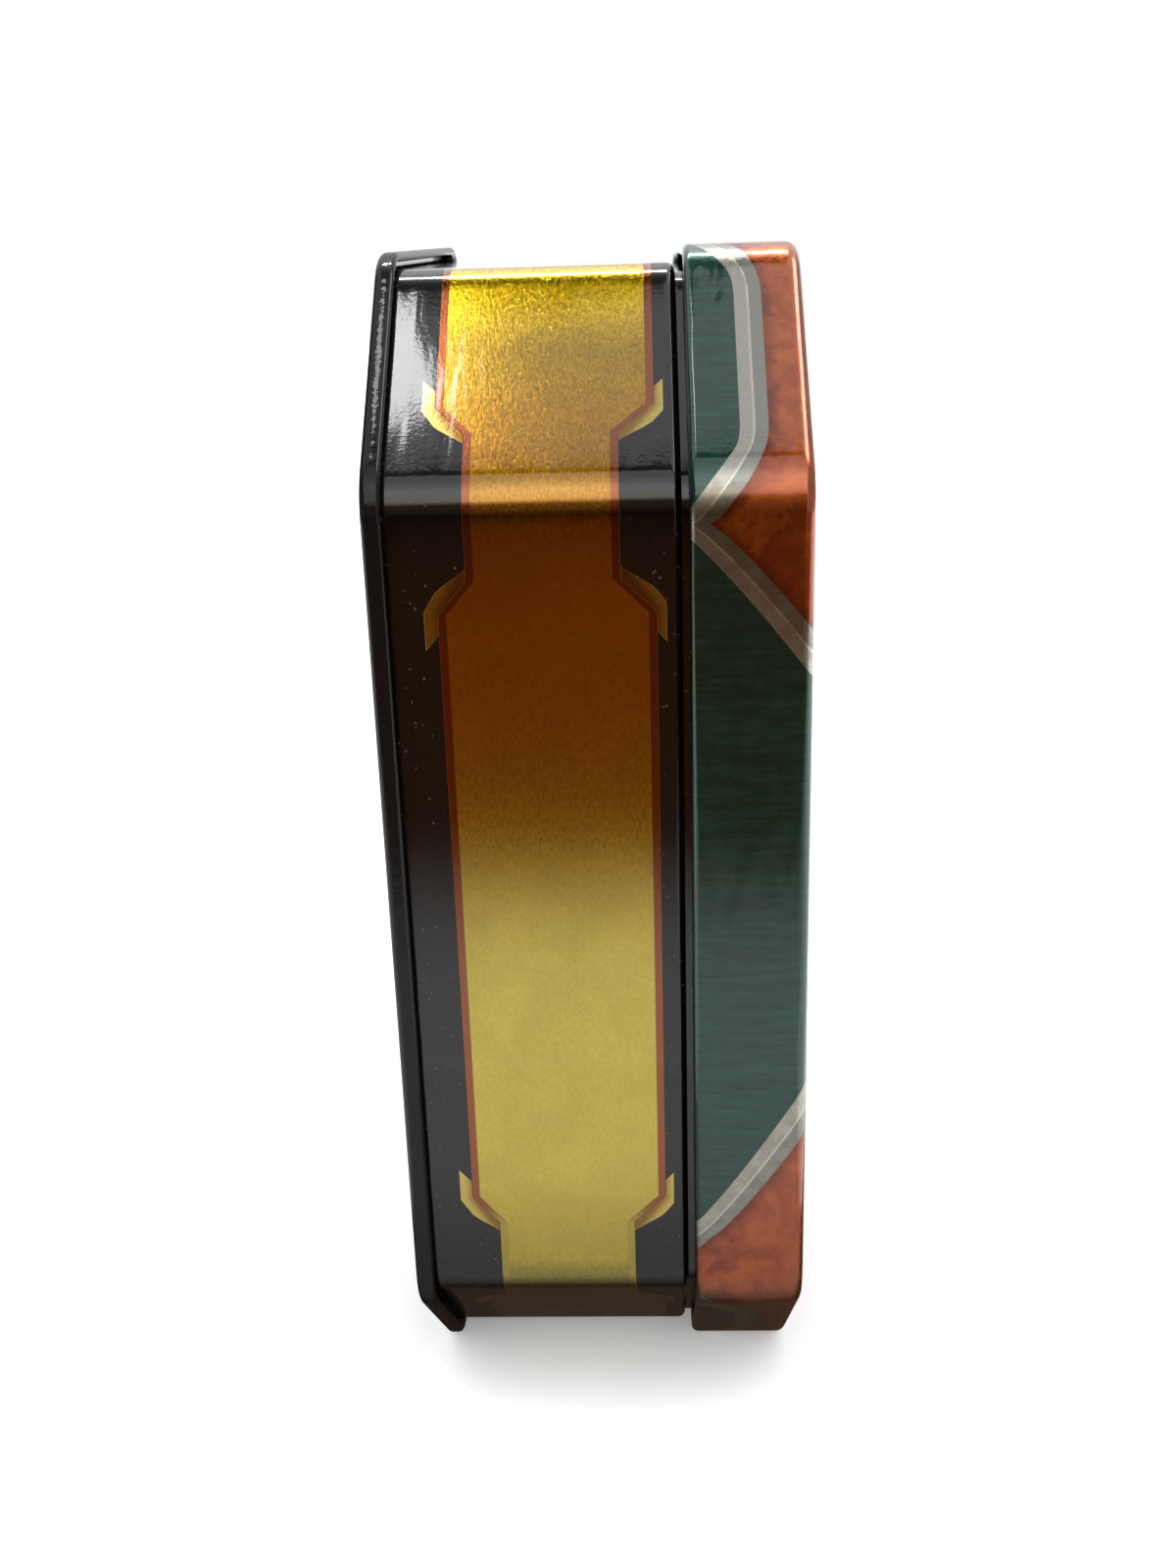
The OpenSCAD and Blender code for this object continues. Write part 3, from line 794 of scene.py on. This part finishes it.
class TIN_OT_hinges(bpy.types.Operator):
    """Finishes of the two hinges"""
    bl_idname = "tin.hinges"
    bl_label = "Hinges"

    def execute(self, context):
        leaf = simple_finish("hinge_metal", (0.010, 0.010, 0.011), (0.022, 0.021, 0.020), 0.9,
                             (0.30, 0.42), metallic=0.4, coat_weight=0.4, coat_roughness=0.2)
        bright = simple_finish("bright_steel", (0.52, 0.51, 0.49), (0.66, 0.65, 0.62), 3.0,
                               (0.18, 0.30), metallic=1.0)
        for end in ("upper", "lower"):
            for part in ("body_leaf", "lid_leaf"):
                dress(f"{end}_hinge_{part}", leaf)
            for part in ("pin", "body_rivets", "lid_rivets"):
                dress(f"{end}_hinge_{part}", bright)
        return {"FINISHED"}


class TIN_OT_insert_tray(bpy.types.Operator):
    """Finish of the formed insert tray"""
    bl_idname = "tin.insert_tray"
    bl_label = "Insert tray"

    def execute(self, context):
        low = colours().tray
        plastic = simple_finish("tray_plastic", low, toned(low, 1.6), 1.4, (0.28, 0.40), 0.00006, 0.3,
                                coat_weight=0.2, coat_roughness=0.15)
        dress("insert_tray", plastic)
        return {"FINISHED"}


PACK_LOW, PACK_HIGH = (Vector(corner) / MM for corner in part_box("booster_pack_1"))
PACK_Y = (PACK_LOW.y + PACK_HIGH.y) / 2
PACK_HALF_W = (PACK_HIGH.y - PACK_LOW.y) / 2
CARDS_LOW, CARDS_HIGH = (Vector(corner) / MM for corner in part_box("booster_cards_1"))
# heights of a pack's end seals, and of its rows of points in the seals and between them
LOWER_CRIMP, UPPER_CRIMP = 5.5, 8.0
FINE_ROW, ROW = 0.5, 2.0
# columns of points across a pack, and the last ones on each side, which turn its rounded fold
COLUMNS = 82
FOLD_COLUMNS = 5
FOLD_WIDTH = 1.7
# the back fin: its middle, half its width and how far it stands out
FIN_Y, FIN_HALF_W, FIN_OUT = 1.0, 4.6, 0.12
# ridges, sideways drift and teeth of the end seals, and the least half thickness beside them
RIDGE, DRIFT, TOOTH, THINNEST = 0.14, 0.35, 0.55, 0.06


def pack_rows():
    """Heights of the rows of points of a pack: close together in the ridged end seals."""
    low, high = PACK_LOW.z, PACK_HIGH.z
    rows = [low + FINE_ROW * step for step in range(round(LOWER_CRIMP / FINE_ROW))]
    start, stop = low + LOWER_CRIMP, high - UPPER_CRIMP
    steps = round((stop - start) / ROW)
    rows += [start + (stop - start) * step / steps for step in range(steps)]
    return rows + [stop + FINE_ROW * step for step in range(round(UPPER_CRIMP / FINE_ROW) + 1)]


def pack_column(index):
    """Place across the pack and share of its thickness of a column of points; the last ones turn the fold."""
    from_middle = index - COLUMNS // 2
    flat_columns = COLUMNS // 2 - FOLD_COLUMNS
    flat = PACK_HALF_W - FOLD_WIDTH
    if abs(from_middle) <= flat_columns:
        return from_middle * flat / flat_columns, 1.0
    turned = (abs(from_middle) - flat_columns) / FOLD_COLUMNS * pi / 2
    return copysign(flat + FOLD_WIDTH * sin(turned), from_middle), cos(turned)


def pack_fullness(z):
    """Share of the full thickness at a height: full along the cards, none in the end seals."""
    below = (CARDS_LOW.z - z) / (CARDS_LOW.z - PACK_LOW.z - LOWER_CRIMP)
    above = (z - CARDS_HIGH.z) / (PACK_HIGH.z - UPPER_CRIMP - CARDS_HIGH.z)
    past = min(1.0, max(0.0, below, above))
    return max(0.0, cos(past * pi / 2)) ** 1.2


def pack_sag(y, z, full, back):
    """Foil hangs in slow folds over the cards and gathers towards the seals."""
    slow = noise.noise(Vector((y * 0.045, z * 0.035, 3.0 if back else 8.0)))
    gather = noise.noise(Vector((y * 0.30, z * 0.06, 5.0 if back else 1.0)))
    near_seal = 4 * full * (1 - full) + 0.12
    return 0.12 + 0.12 * slow + 0.55 * near_seal * (0.5 + 0.5 * gather)


def make_pack(name):
    """One sealed foil pack: two grids of foil joined at their edges, pressed flat and ridged at both ends."""
    rows = pack_rows()
    last_row = len(rows) - 1
    put_down()
    bpy.ops.mesh.primitive_grid_add(x_subdivisions=COLUMNS, y_subdivisions=last_row, size=1.0)
    piece = bpy.context.object
    piece.name = piece.data.name = name
    bpy.ops.object.mode_set(mode="EDIT")
    bpy.ops.mesh.select_all(action="SELECT")
    bpy.ops.mesh.duplicate()
    bpy.ops.object.mode_set(mode="OBJECT")
    middle_x = (PACK_LOW.x + PACK_HIGH.x) / 2
    half_thick = (PACK_HIGH.x - PACK_LOW.x) / 2
    for vertex in piece.data.vertices:
        column = round((vertex.co.x + 0.5) * COLUMNS)
        row = round((vertex.co.y + 0.5) * last_row)
        y, fold = pack_column(column)
        z = rows[row]
        full = pack_fullness(z)
        back = vertex.select
        beside_fin = FIN_OUT if back and abs(y - FIN_Y) > FIN_HALF_W else 0.0
        height = max(THINNEST, (half_thick - beside_fin - pack_sag(y, z, full, back) * 0.8) * full)
        if column in (0, COLUMNS) or row in (0, last_row):
            height = 0.0
        ridge = RIDGE * (1 - full) ** 6 * (1 if row % 3 == 0 else -0.5)
        drift = DRIFT * (1 - full) * noise.noise(Vector((y * 0.05, z * 0.02, 0.0)))
        if row in (0, last_row) and column % 2:
            z += TOOTH if row == 0 else -TOOTH
        x = middle_x + ridge + drift + height * fold * (-1 if back else 1)
        vertex.co = Vector((x, PACK_Y + y, z)) * MM
    bpy.ops.object.mode_set(mode="EDIT")
    bpy.ops.mesh.select_all(action="SELECT")
    bpy.ops.mesh.remove_doubles(threshold=2e-6)
    bpy.ops.mesh.normals_make_consistent(inside=False)
    bpy.ops.object.mode_set(mode="OBJECT")
    bpy.ops.object.shade_smooth_by_angle(angle=radians(40))
    return piece


def foil(name, shade, deep):
    """Metal foil with slanting stripes, a field of lozenges and plain silver seals."""
    f = Finish(name, specular_ior_level=0.4)
    steep, stripe, lozenge, badge_half, rim_inner, seal_from = 1.6, 11.0, 8.0, 31.0, 29.0, 47.0
    stripe_edge, bars = (4.6, 6.4), (38.0, 39.4)
    y = f.across - (PACK_Y - MIDDLE_Y)
    z = f.up - ((CARDS_LOW.z + CARDS_HIGH.z) / 2 - MIDDLE_Z)
    stripes = f.ease(f.zigzag(y * 0.8 + z, stripe), *stripe_edge)
    first, second = crossing_lines(f, y * steep, z, lozenge)
    away = f.larger(abs(y) * steep, abs(z))
    badge = f.above(badge_half, away, 0.4)
    rim = f.between(away, rim_inner, badge_half, 0.3)
    lozenges = f.above(first, lozenge / 2, 0.3) * f.above(second, lozenge / 2, 0.3)
    band = f.between(abs(z), *bars, 0.2)
    paint = f.mix(stripes, shade, deep)
    paint = f.mix(badge, paint, f.mix(lozenges, toned(deep, 0.7), shade))
    paint = f.mix(f.larger(rim, band), paint, (0.62, 0.46, 0.16))
    seal = f.above(abs(f.up - ((PACK_LOW.z + PACK_HIGH.z) / 2 - MIDDLE_Z)), seal_from, 0.3)
    grain = f.noise(f.place, 0.5, 4.0, 0.6)
    f.set("Base Color", f.mix(seal, paint, (0.62, 0.61, 0.60)))
    f.set("Metallic", 0.92)
    f.set("Roughness", f.ease(grain, *GRAIN, 0.20, 0.32))
    creases = f.noise(f.scaled(f.place, (1.0, 1.0, 0.5)), 0.32, 3.0, 0.55, 0.8)
    f.set("Normal", f.bump(creases, 0.0009, 0.35))
    return f.material


class TIN_OT_booster_packs(bpy.types.Operator):
    """Three sealed foil packs, modelled once and copied, and the cards sealed in them"""
    bl_idname = "tin.booster_packs"
    bl_label = "Booster packs"

    def execute(self, context):
        foils = (("red", (0.42, 0.030, 0.018), (0.14, 0.010, 0.010)),
                 ("gold", (0.72, 0.44, 0.08), (0.34, 0.16, 0.02)),
                 ("green", (0.03, 0.24, 0.12), (0.006, 0.07, 0.045)))
        card = simple_finish("card_stock", (0.62, 0.60, 0.55), (0.70, 0.68, 0.63), 2.0)
        first = make_pack("pack_1")
        for index, (name, shade, deep) in enumerate(foils, 1):
            pack = first
            if index > 1:
                put_down()
                first.select_set(True)
                context.view_layer.objects.active = first
                bpy.ops.object.duplicate(linked=False)
                pack = context.object
                pack.name = pack.data.name = f"pack_{index}"
                pack.data.materials.clear()
                shift = (Vector(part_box(f"booster_pack_{index}")[0]) - Vector(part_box("booster_pack_1")[0])).x
                bpy.ops.object.mode_set(mode="EDIT")
                bpy.ops.mesh.select_all(action="SELECT")
                bpy.ops.transform.translate(value=(shift, 0, 0))
                bpy.ops.object.mode_set(mode="OBJECT")
            pack.data.materials.append(foil(f"foil_{name}", shade, deep))
            dress(f"booster_cards_{index}", card)
        # told only now, because a copy takes over all that its pack was told
        for index, (name, shade, deep) in enumerate(foils, 1):
            pack = bpy.data.objects[f"pack_{index}"]
            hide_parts(f"booster_pack_{index}")
            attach(pack, "tin")
        return {"FINISHED"}


def printed_sheet(f, node, edge):
    """Distances from the middle and from the outline of a card or leaflet, and its face within an edge."""
    low, high = (Vector(corner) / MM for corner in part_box(node))
    y = abs(f.across - ((low.y + high.y) / 2 - MIDDLE_Y))
    z = abs(f.up - ((low.z + high.z) / 2 - MIDDLE_Z))
    inward = f.smaller((high.y - low.y) / 2 - y, (high.z - low.z) / 2 - z)
    return y, z, inward, f.above(inward, edge, 0.05)


def card_back():
    """Back of a card: a pale border, a lattice of lozenges and two rings; white at its cut edge."""
    f = Finish("card_back", coat_weight=0.5, coat_roughness=0.12)
    gold, pitch, half_line, squash, disc = (0.48, 0.34, 0.10), 3.5, 0.35, 1.3, 22.0
    inner_ring, outer_ring, gold_frame, field_from = (15.0, 16.4), (disc, 22.8), 3.4, 4.2
    y, z, inward, face = printed_sheet(f, "promo_card_1", 0.08)
    lattice = lattice_of(f, *crossing_lines(f, y, z, pitch), half_line)
    away = f.distance(f.join(y * squash, z))
    ring = f.larger(f.between(away, *inner_ring), f.between(away, *outer_ring))
    shade = f.noise(f.place, 0.12, 4.0, 0.6, 0.4)
    field = f.mix(f.ease(shade, 0.35, 0.65), (0.10, 0.018, 0.012), (0.19, 0.045, 0.018))
    field = f.mix(f.above(disc, away), field, (0.012, 0.065, 0.045))
    field = f.mix(lattice, field, (0.26, 0.17, 0.05))
    field = f.mix(ring, field, gold)
    border = f.mix(f.above(inward, gold_frame), (0.030, 0.020, 0.016), gold)
    framed = f.mix(f.above(inward, field_from), border, field)
    f.set("Base Color", f.mix(face, (0.78, 0.76, 0.72), framed))
    fibres = f.noise(f.place, 2.2, 3.0, 0.6)
    f.set("Roughness", f.ease(fibres, *GRAIN, 0.38, 0.52))
    f.set("Normal", f.bump(fibres, 0.00002, 0.3))
    return f.material


def leaflet_paper():
    """Folded leaflet: pale paper with two colour blocks and grey rules."""
    f = Finish("leaflet_paper", specular_ior_level=0.3)
    head_span, foot_span, rules_span = (24.0, 36.0), (-37.0, -32.0), (-28.0, 20.0)
    margin, rules_margin, rule_pitch, rule_from = 3.0, 6.0, 1.5, 1.1
    inward, face = printed_sheet(f, "rules_leaflet", 0.10)[2:]
    height = f.up + 1.0
    in_margin = f.above(inward, margin)
    head = f.between(height, *head_span) * in_margin
    foot = f.between(height, *foot_span) * in_margin
    rules = f.above(f.zigzag(height, rule_pitch), rule_from) * f.between(height, *rules_span)
    rules = rules * f.above(inward, rules_margin)
    fibres = f.noise(f.scaled(f.place, (1.0, 0.6, 2.0)), 1.4, 4.0, 0.65)
    paint = f.mix(f.ease(fibres, *GRAIN), (0.66, 0.64, 0.58), (0.72, 0.70, 0.65))
    paint = f.mix(rules * 0.45, paint, (0.20, 0.20, 0.20))
    paint = f.mix(head, paint, (0.015, 0.10, 0.065))
    paint = f.mix(foot, paint, (0.28, 0.04, 0.02))
    f.set("Base Color", f.mix(face, (0.76, 0.75, 0.72), paint))
    f.set("Roughness", f.ease(fibres, *GRAIN, 0.55, 0.72))
    f.set("Normal", f.bump(fibres, 0.00003, 0.4))
    return f.material


class TIN_OT_cards(bpy.types.Operator):
    """Promo cards and the rules leaflet"""
    bl_idname = "tin.cards"
    bl_label = "Cards and leaflet"

    def execute(self, context):
        back = card_back()
        for index in range(1, 6):
            dress(f"promo_card_{index}", back)
        dress("rules_leaflet", leaflet_paper())
        return {"FINISHED"}


# ---------------------------------------------------------------- studio

# half the width of the panels round the tin, and the height of the walls and the overhead panel
REACH, TOP = 1.5, 1.2
# the overhead panel's round opening: its middle and where its soft edge begins and ends
OPENING, OPENING_EDGE = (-0.07, 0.159, TOP), (0.248, 0.254)
# the camera, fitted to the tin's outline in the photo
CAMERA_PLACE = (0.007959, -0.292212, 0.196803)
CAMERA_RIGHT = Vector((0.999121, 0.030785, -0.028465))
CAMERA_UP = Vector((0.016812, 0.327781, 0.944604))
SENSOR = 36.0


def grey(level):
    return (level, level, level)


def glow(name, shade):
    """A light-giving finish whose colour is worked out by the given function."""
    material = bpy.data.materials.new(name)
    f = Nodes(material)
    light = f.node("Emission", (shade(f),))
    f.node("OutputMaterial", (light[0],))
    return material


def flat_panel(name, low, high, at, upright=None):
    """A flat studio panel with its place in its mesh: lying, or upright across the y or the x axis."""
    put_down()
    bpy.ops.mesh.primitive_plane_add(size=1.0)
    panel = bpy.context.object
    panel.name = panel.data.name = name
    bpy.ops.object.mode_set(mode="EDIT")
    bpy.ops.transform.resize(value=(high[0] - low[0], high[1] - low[1], 1.0), center_override=(0, 0, 0))
    bpy.ops.transform.translate(value=((low[0] + high[0]) / 2, (low[1] + high[1]) / 2, at))
    bpy.ops.object.mode_set(mode="OBJECT")
    if upright:
        for vertex in panel.data.vertices:
            x, y, z = vertex.co
            vertex.co = (x, z, y) if upright == "Y" else (z, x, y)
    return panel


def gloss_card(name, low, high, at, shade, upright=None):
    """A glowing panel that the tin mirrors and that is seen nowhere else."""
    card = flat_panel(name, low, high, at, upright)
    card.data.materials.append(glow(name, shade))
    card.visible_camera = card.visible_shadow = card.visible_diffuse = False


def gloss_wall(name, at, shade, upright):
    """Such a panel as an upright wall on the floor."""
    gloss_card(name, (-REACH, 0.0), (REACH, TOP), at, shade, upright)


def lamp(name, place, towards, size, power):
    """A rectangular lamp that shows in gloss only."""
    data = bpy.data.lights.new(name, "AREA")
    data.shape = "RECTANGLE"
    data.size, data.size_y = size
    data.energy = power
    holder = bpy.data.objects.new(name, data)
    bpy.context.scene.collection.objects.link(holder)
    holder.location = place
    holder.rotation_euler = (Vector(towards) - Vector(place)).to_track_quat("-Z", "Y").to_euler()
    holder.visible_camera = holder.visible_diffuse = False


def surroundings(brightness):
    """White light from all round, faint overhead."""
    world = bpy.data.worlds.new("studio")
    bpy.context.scene.world = world
    sky = Nodes(world, "Generated")
    height = sky.split(sky.place)[2]
    light = sky.node("Background", (grey(1.0), sky.ease(height, 0.40, 0.70, brightness, 0.06)))
    sky.node("OutputWorld", (light[0],))


def paper_floor():
    """White paper that glows from within as painted light, faintly at the tin's foot and more further out, so
    that it runs into the background.
    """
    floor = flat_panel("floor", (-3.0, -3.0), (3.0, 3.0), 0.0)
    paper = Finish("floor_paper", roughness=0.9, specular_ior_level=0.1, emission_color=grey(1.0))
    fibres = paper.noise(paper.place, 0.4, 3.0)
    paper.set("Base Color", paper.mix(fibres, grey(0.90), grey(0.92)))
    tin_x, tin_y, shadow = 30.0, 46.0, 36.0
    x, y, _ = paper.split(paper.place)
    wide, deep = abs(x), abs(y)
    # the glow is weakest at the tin's foot and rises over the shadow's reach: painted light that keeps the
    # tin's shadow short
    far = paper.ease(paper.larger(wide * 0.8, y), 150.0, 700.0, 0.0, 0.8)
    gap = paper.join(paper.larger(wide - tin_x, 0.0), paper.larger(deep - tin_y, 0.0))
    near = paper.ease(paper.distance(gap), 0.0, shadow, 0.22, 0.64)
    paper.set("Emission Strength", near + far)
    floor.data.materials.append(paper.material)


def front_card_shade(f):
    """White next to the tin, then warm brown that darkens further out."""
    y = f.split(f.place)[1]
    brown = f.scaled((0.23, 0.080, 0.022), f.ease(y, -1.1, -0.75, 0.25, 1.0))
    return f.mix(f.ease(y, -0.375, -0.24), brown, grey(1.22))


def painted_shadow_card_shade(f):
    """A dark card under the tin as painted shadow, mirrored by the slanted corners in their gloss: a dark strip
    between two brighter steps on each side.
    """
    deep = abs(f.split(f.place)[1])
    shade = f.ease(deep, 0.062, 0.098, 0.0, 0.68) + f.ease(deep, 0.112, 0.16, 0.0, 0.46)
    return f.node("VectorMath", ((0.045, 0.030, 0.020), f.join(shade, shade, shade)), operation="ADD")[0]


def front_wall_shade(f):
    """Dark brown at the foot and bright at the top."""
    z = f.split(f.place)[2]
    low = f.mix(f.ease(z, 0.05, 0.45), (0.015, 0.006, 0.002), (0.24, 0.14, 0.07))
    return f.mix(f.ease(z, 0.62, 0.92), low, (2.6, 2.4, 2.1))


def overhead_shade(f):
    """Bright, more so in front, with a round opening over the tin and one dark seam."""
    y = f.split(f.place)[1]
    lit = f.ease(f.distance(f.place, OPENING), *OPENING_EDGE)
    front = f.ease(y, -0.35, -1.1, 1.0, 2.0)
    seam = 1.0 - f.ease(y, -0.268, -0.256) * f.ease(y, -0.204, -0.216)
    return f.scaled((0.98, 1.0, 1.04), lit * (front * seam) * bpy.context.scene.tin_stage.top_light)


def photo_camera(focal):
    """The photo's camera, as fitted; its focal length is in widths of the frame."""
    lens = bpy.data.cameras.new("camera")
    lens.sensor_fit = "HORIZONTAL"
    lens.sensor_width = SENSOR
    lens.lens = SENSOR * focal
    lens.clip_start = 0.01
    camera = bpy.data.objects.new("camera", lens)
    bpy.context.scene.collection.objects.link(camera)
    back_of = CAMERA_RIGHT.cross(CAMERA_UP).normalized()
    turn = Matrix((CAMERA_RIGHT, CAMERA_UP, back_of)).transposed().to_4x4()
    camera.matrix_world = Matrix.Translation(CAMERA_PLACE) @ turn
    bpy.context.scene.camera = camera


class TIN_OT_stage(bpy.types.Operator):
    """Pale floor, soft lights and the camera"""
    bl_idname = "tin.stage"
    bl_label = "Studio"

    def execute(self, context):
        stage = context.scene.tin_stage
        context.scene.view_settings.view_transform = "Standard"
        context.scene.view_settings.look = "None"
        surroundings(stage.sky)
        paper_floor()
        gloss_card("front_card", (-REACH, -REACH), (REACH, -0.20), 0.002, front_card_shade)
        # painted shadow card: dark under the tin's overhang, seen only in the gloss of the slanted corners
        gloss_card("painted_shadow_card", (-0.10, -0.20), (0.10, 0.20), 0.0012, painted_shadow_card_shade)
        gloss_wall("front_wall", -REACH, front_wall_shade, "Y")
        gloss_wall("left_wall", -1.2, lambda f: grey(0.17), "X")
        gloss_wall("right_wall", 1.2, lambda f: grey(0.55), "X")
        panel = flat_panel("overhead_panel", (-REACH, -REACH), (REACH, REACH), TOP)
        panel.data.materials.append(glow("overhead_panel", overhead_shade))
        panel.visible_camera = False
        lamp("rear_light", (-0.05, 0.43, 1.15), (0.0, 0.0, 0.15), (0.45, 0.06), stage.rear_light)
        lamp("side_strip", (0.40, -0.55, 0.35), (0.0, -0.05, 0.10), (0.03, 0.70), stage.side_light)
        lamp("left_lamp", (-0.19, -0.125, 1.15), (-0.03, -0.05, 0.18), (0.09, 0.09), stage.left_light)
        lamp("right_lamp", (0.64, 0.10, 0.95), (0.03, -0.06, 0.18), (0.45, 0.32), stage.right_light)
        photo_camera(stage.focal)
        return {"FINISHED"}


class TIN_PT_pieces(bpy.types.Panel):
    """Lists the tin's pieces in the sidebar"""
    bl_idname = "TIN_PT_pieces"
    bl_label = "Card game tin"
    bl_space_type = "VIEW_3D"
    bl_region_type = "UI"
    bl_category = "Card Tin"

    def draw(self, context):
        for maker in MAKERS:
            self.layout.operator(maker.bl_idname)
        for group in (context.scene.tin_sizes, context.scene.tin_colours, context.scene.tin_stage):
            box = self.layout.box()
            for name in group.bl_rna.properties.keys():
                if name not in ("rna_type", "name"):
                    box.prop(group, name)


MAKERS = (TIN_OT_stage, TIN_OT_body_wall, TIN_OT_back_panel, TIN_OT_lid, TIN_OT_hinges,
          TIN_OT_insert_tray, TIN_OT_booster_packs, TIN_OT_cards)
GROUPS = (TinSizes, TinColours, StageSettings)


def register():
    for kind in GROUPS + MAKERS + (TIN_PT_pieces,):
        bpy.utils.register_class(kind)
    bpy.types.Scene.tin_sizes = bpy.props.PointerProperty(type=TinSizes)
    bpy.types.Scene.tin_colours = bpy.props.PointerProperty(type=TinColours)
    bpy.types.Scene.tin_stage = bpy.props.PointerProperty(type=StageSettings)


def unregister():
    del bpy.types.Scene.tin_sizes, bpy.types.Scene.tin_colours, bpy.types.Scene.tin_stage
    for kind in reversed(GROUPS + MAKERS + (TIN_PT_pieces,)):
        bpy.utils.unregister_class(kind)


def main():
    register()
    for maker in MAKERS:
        group, name = maker.bl_idname.split(".")
        getattr(getattr(bpy.ops, group), name)()


if __name__ == "__main__":
    main()
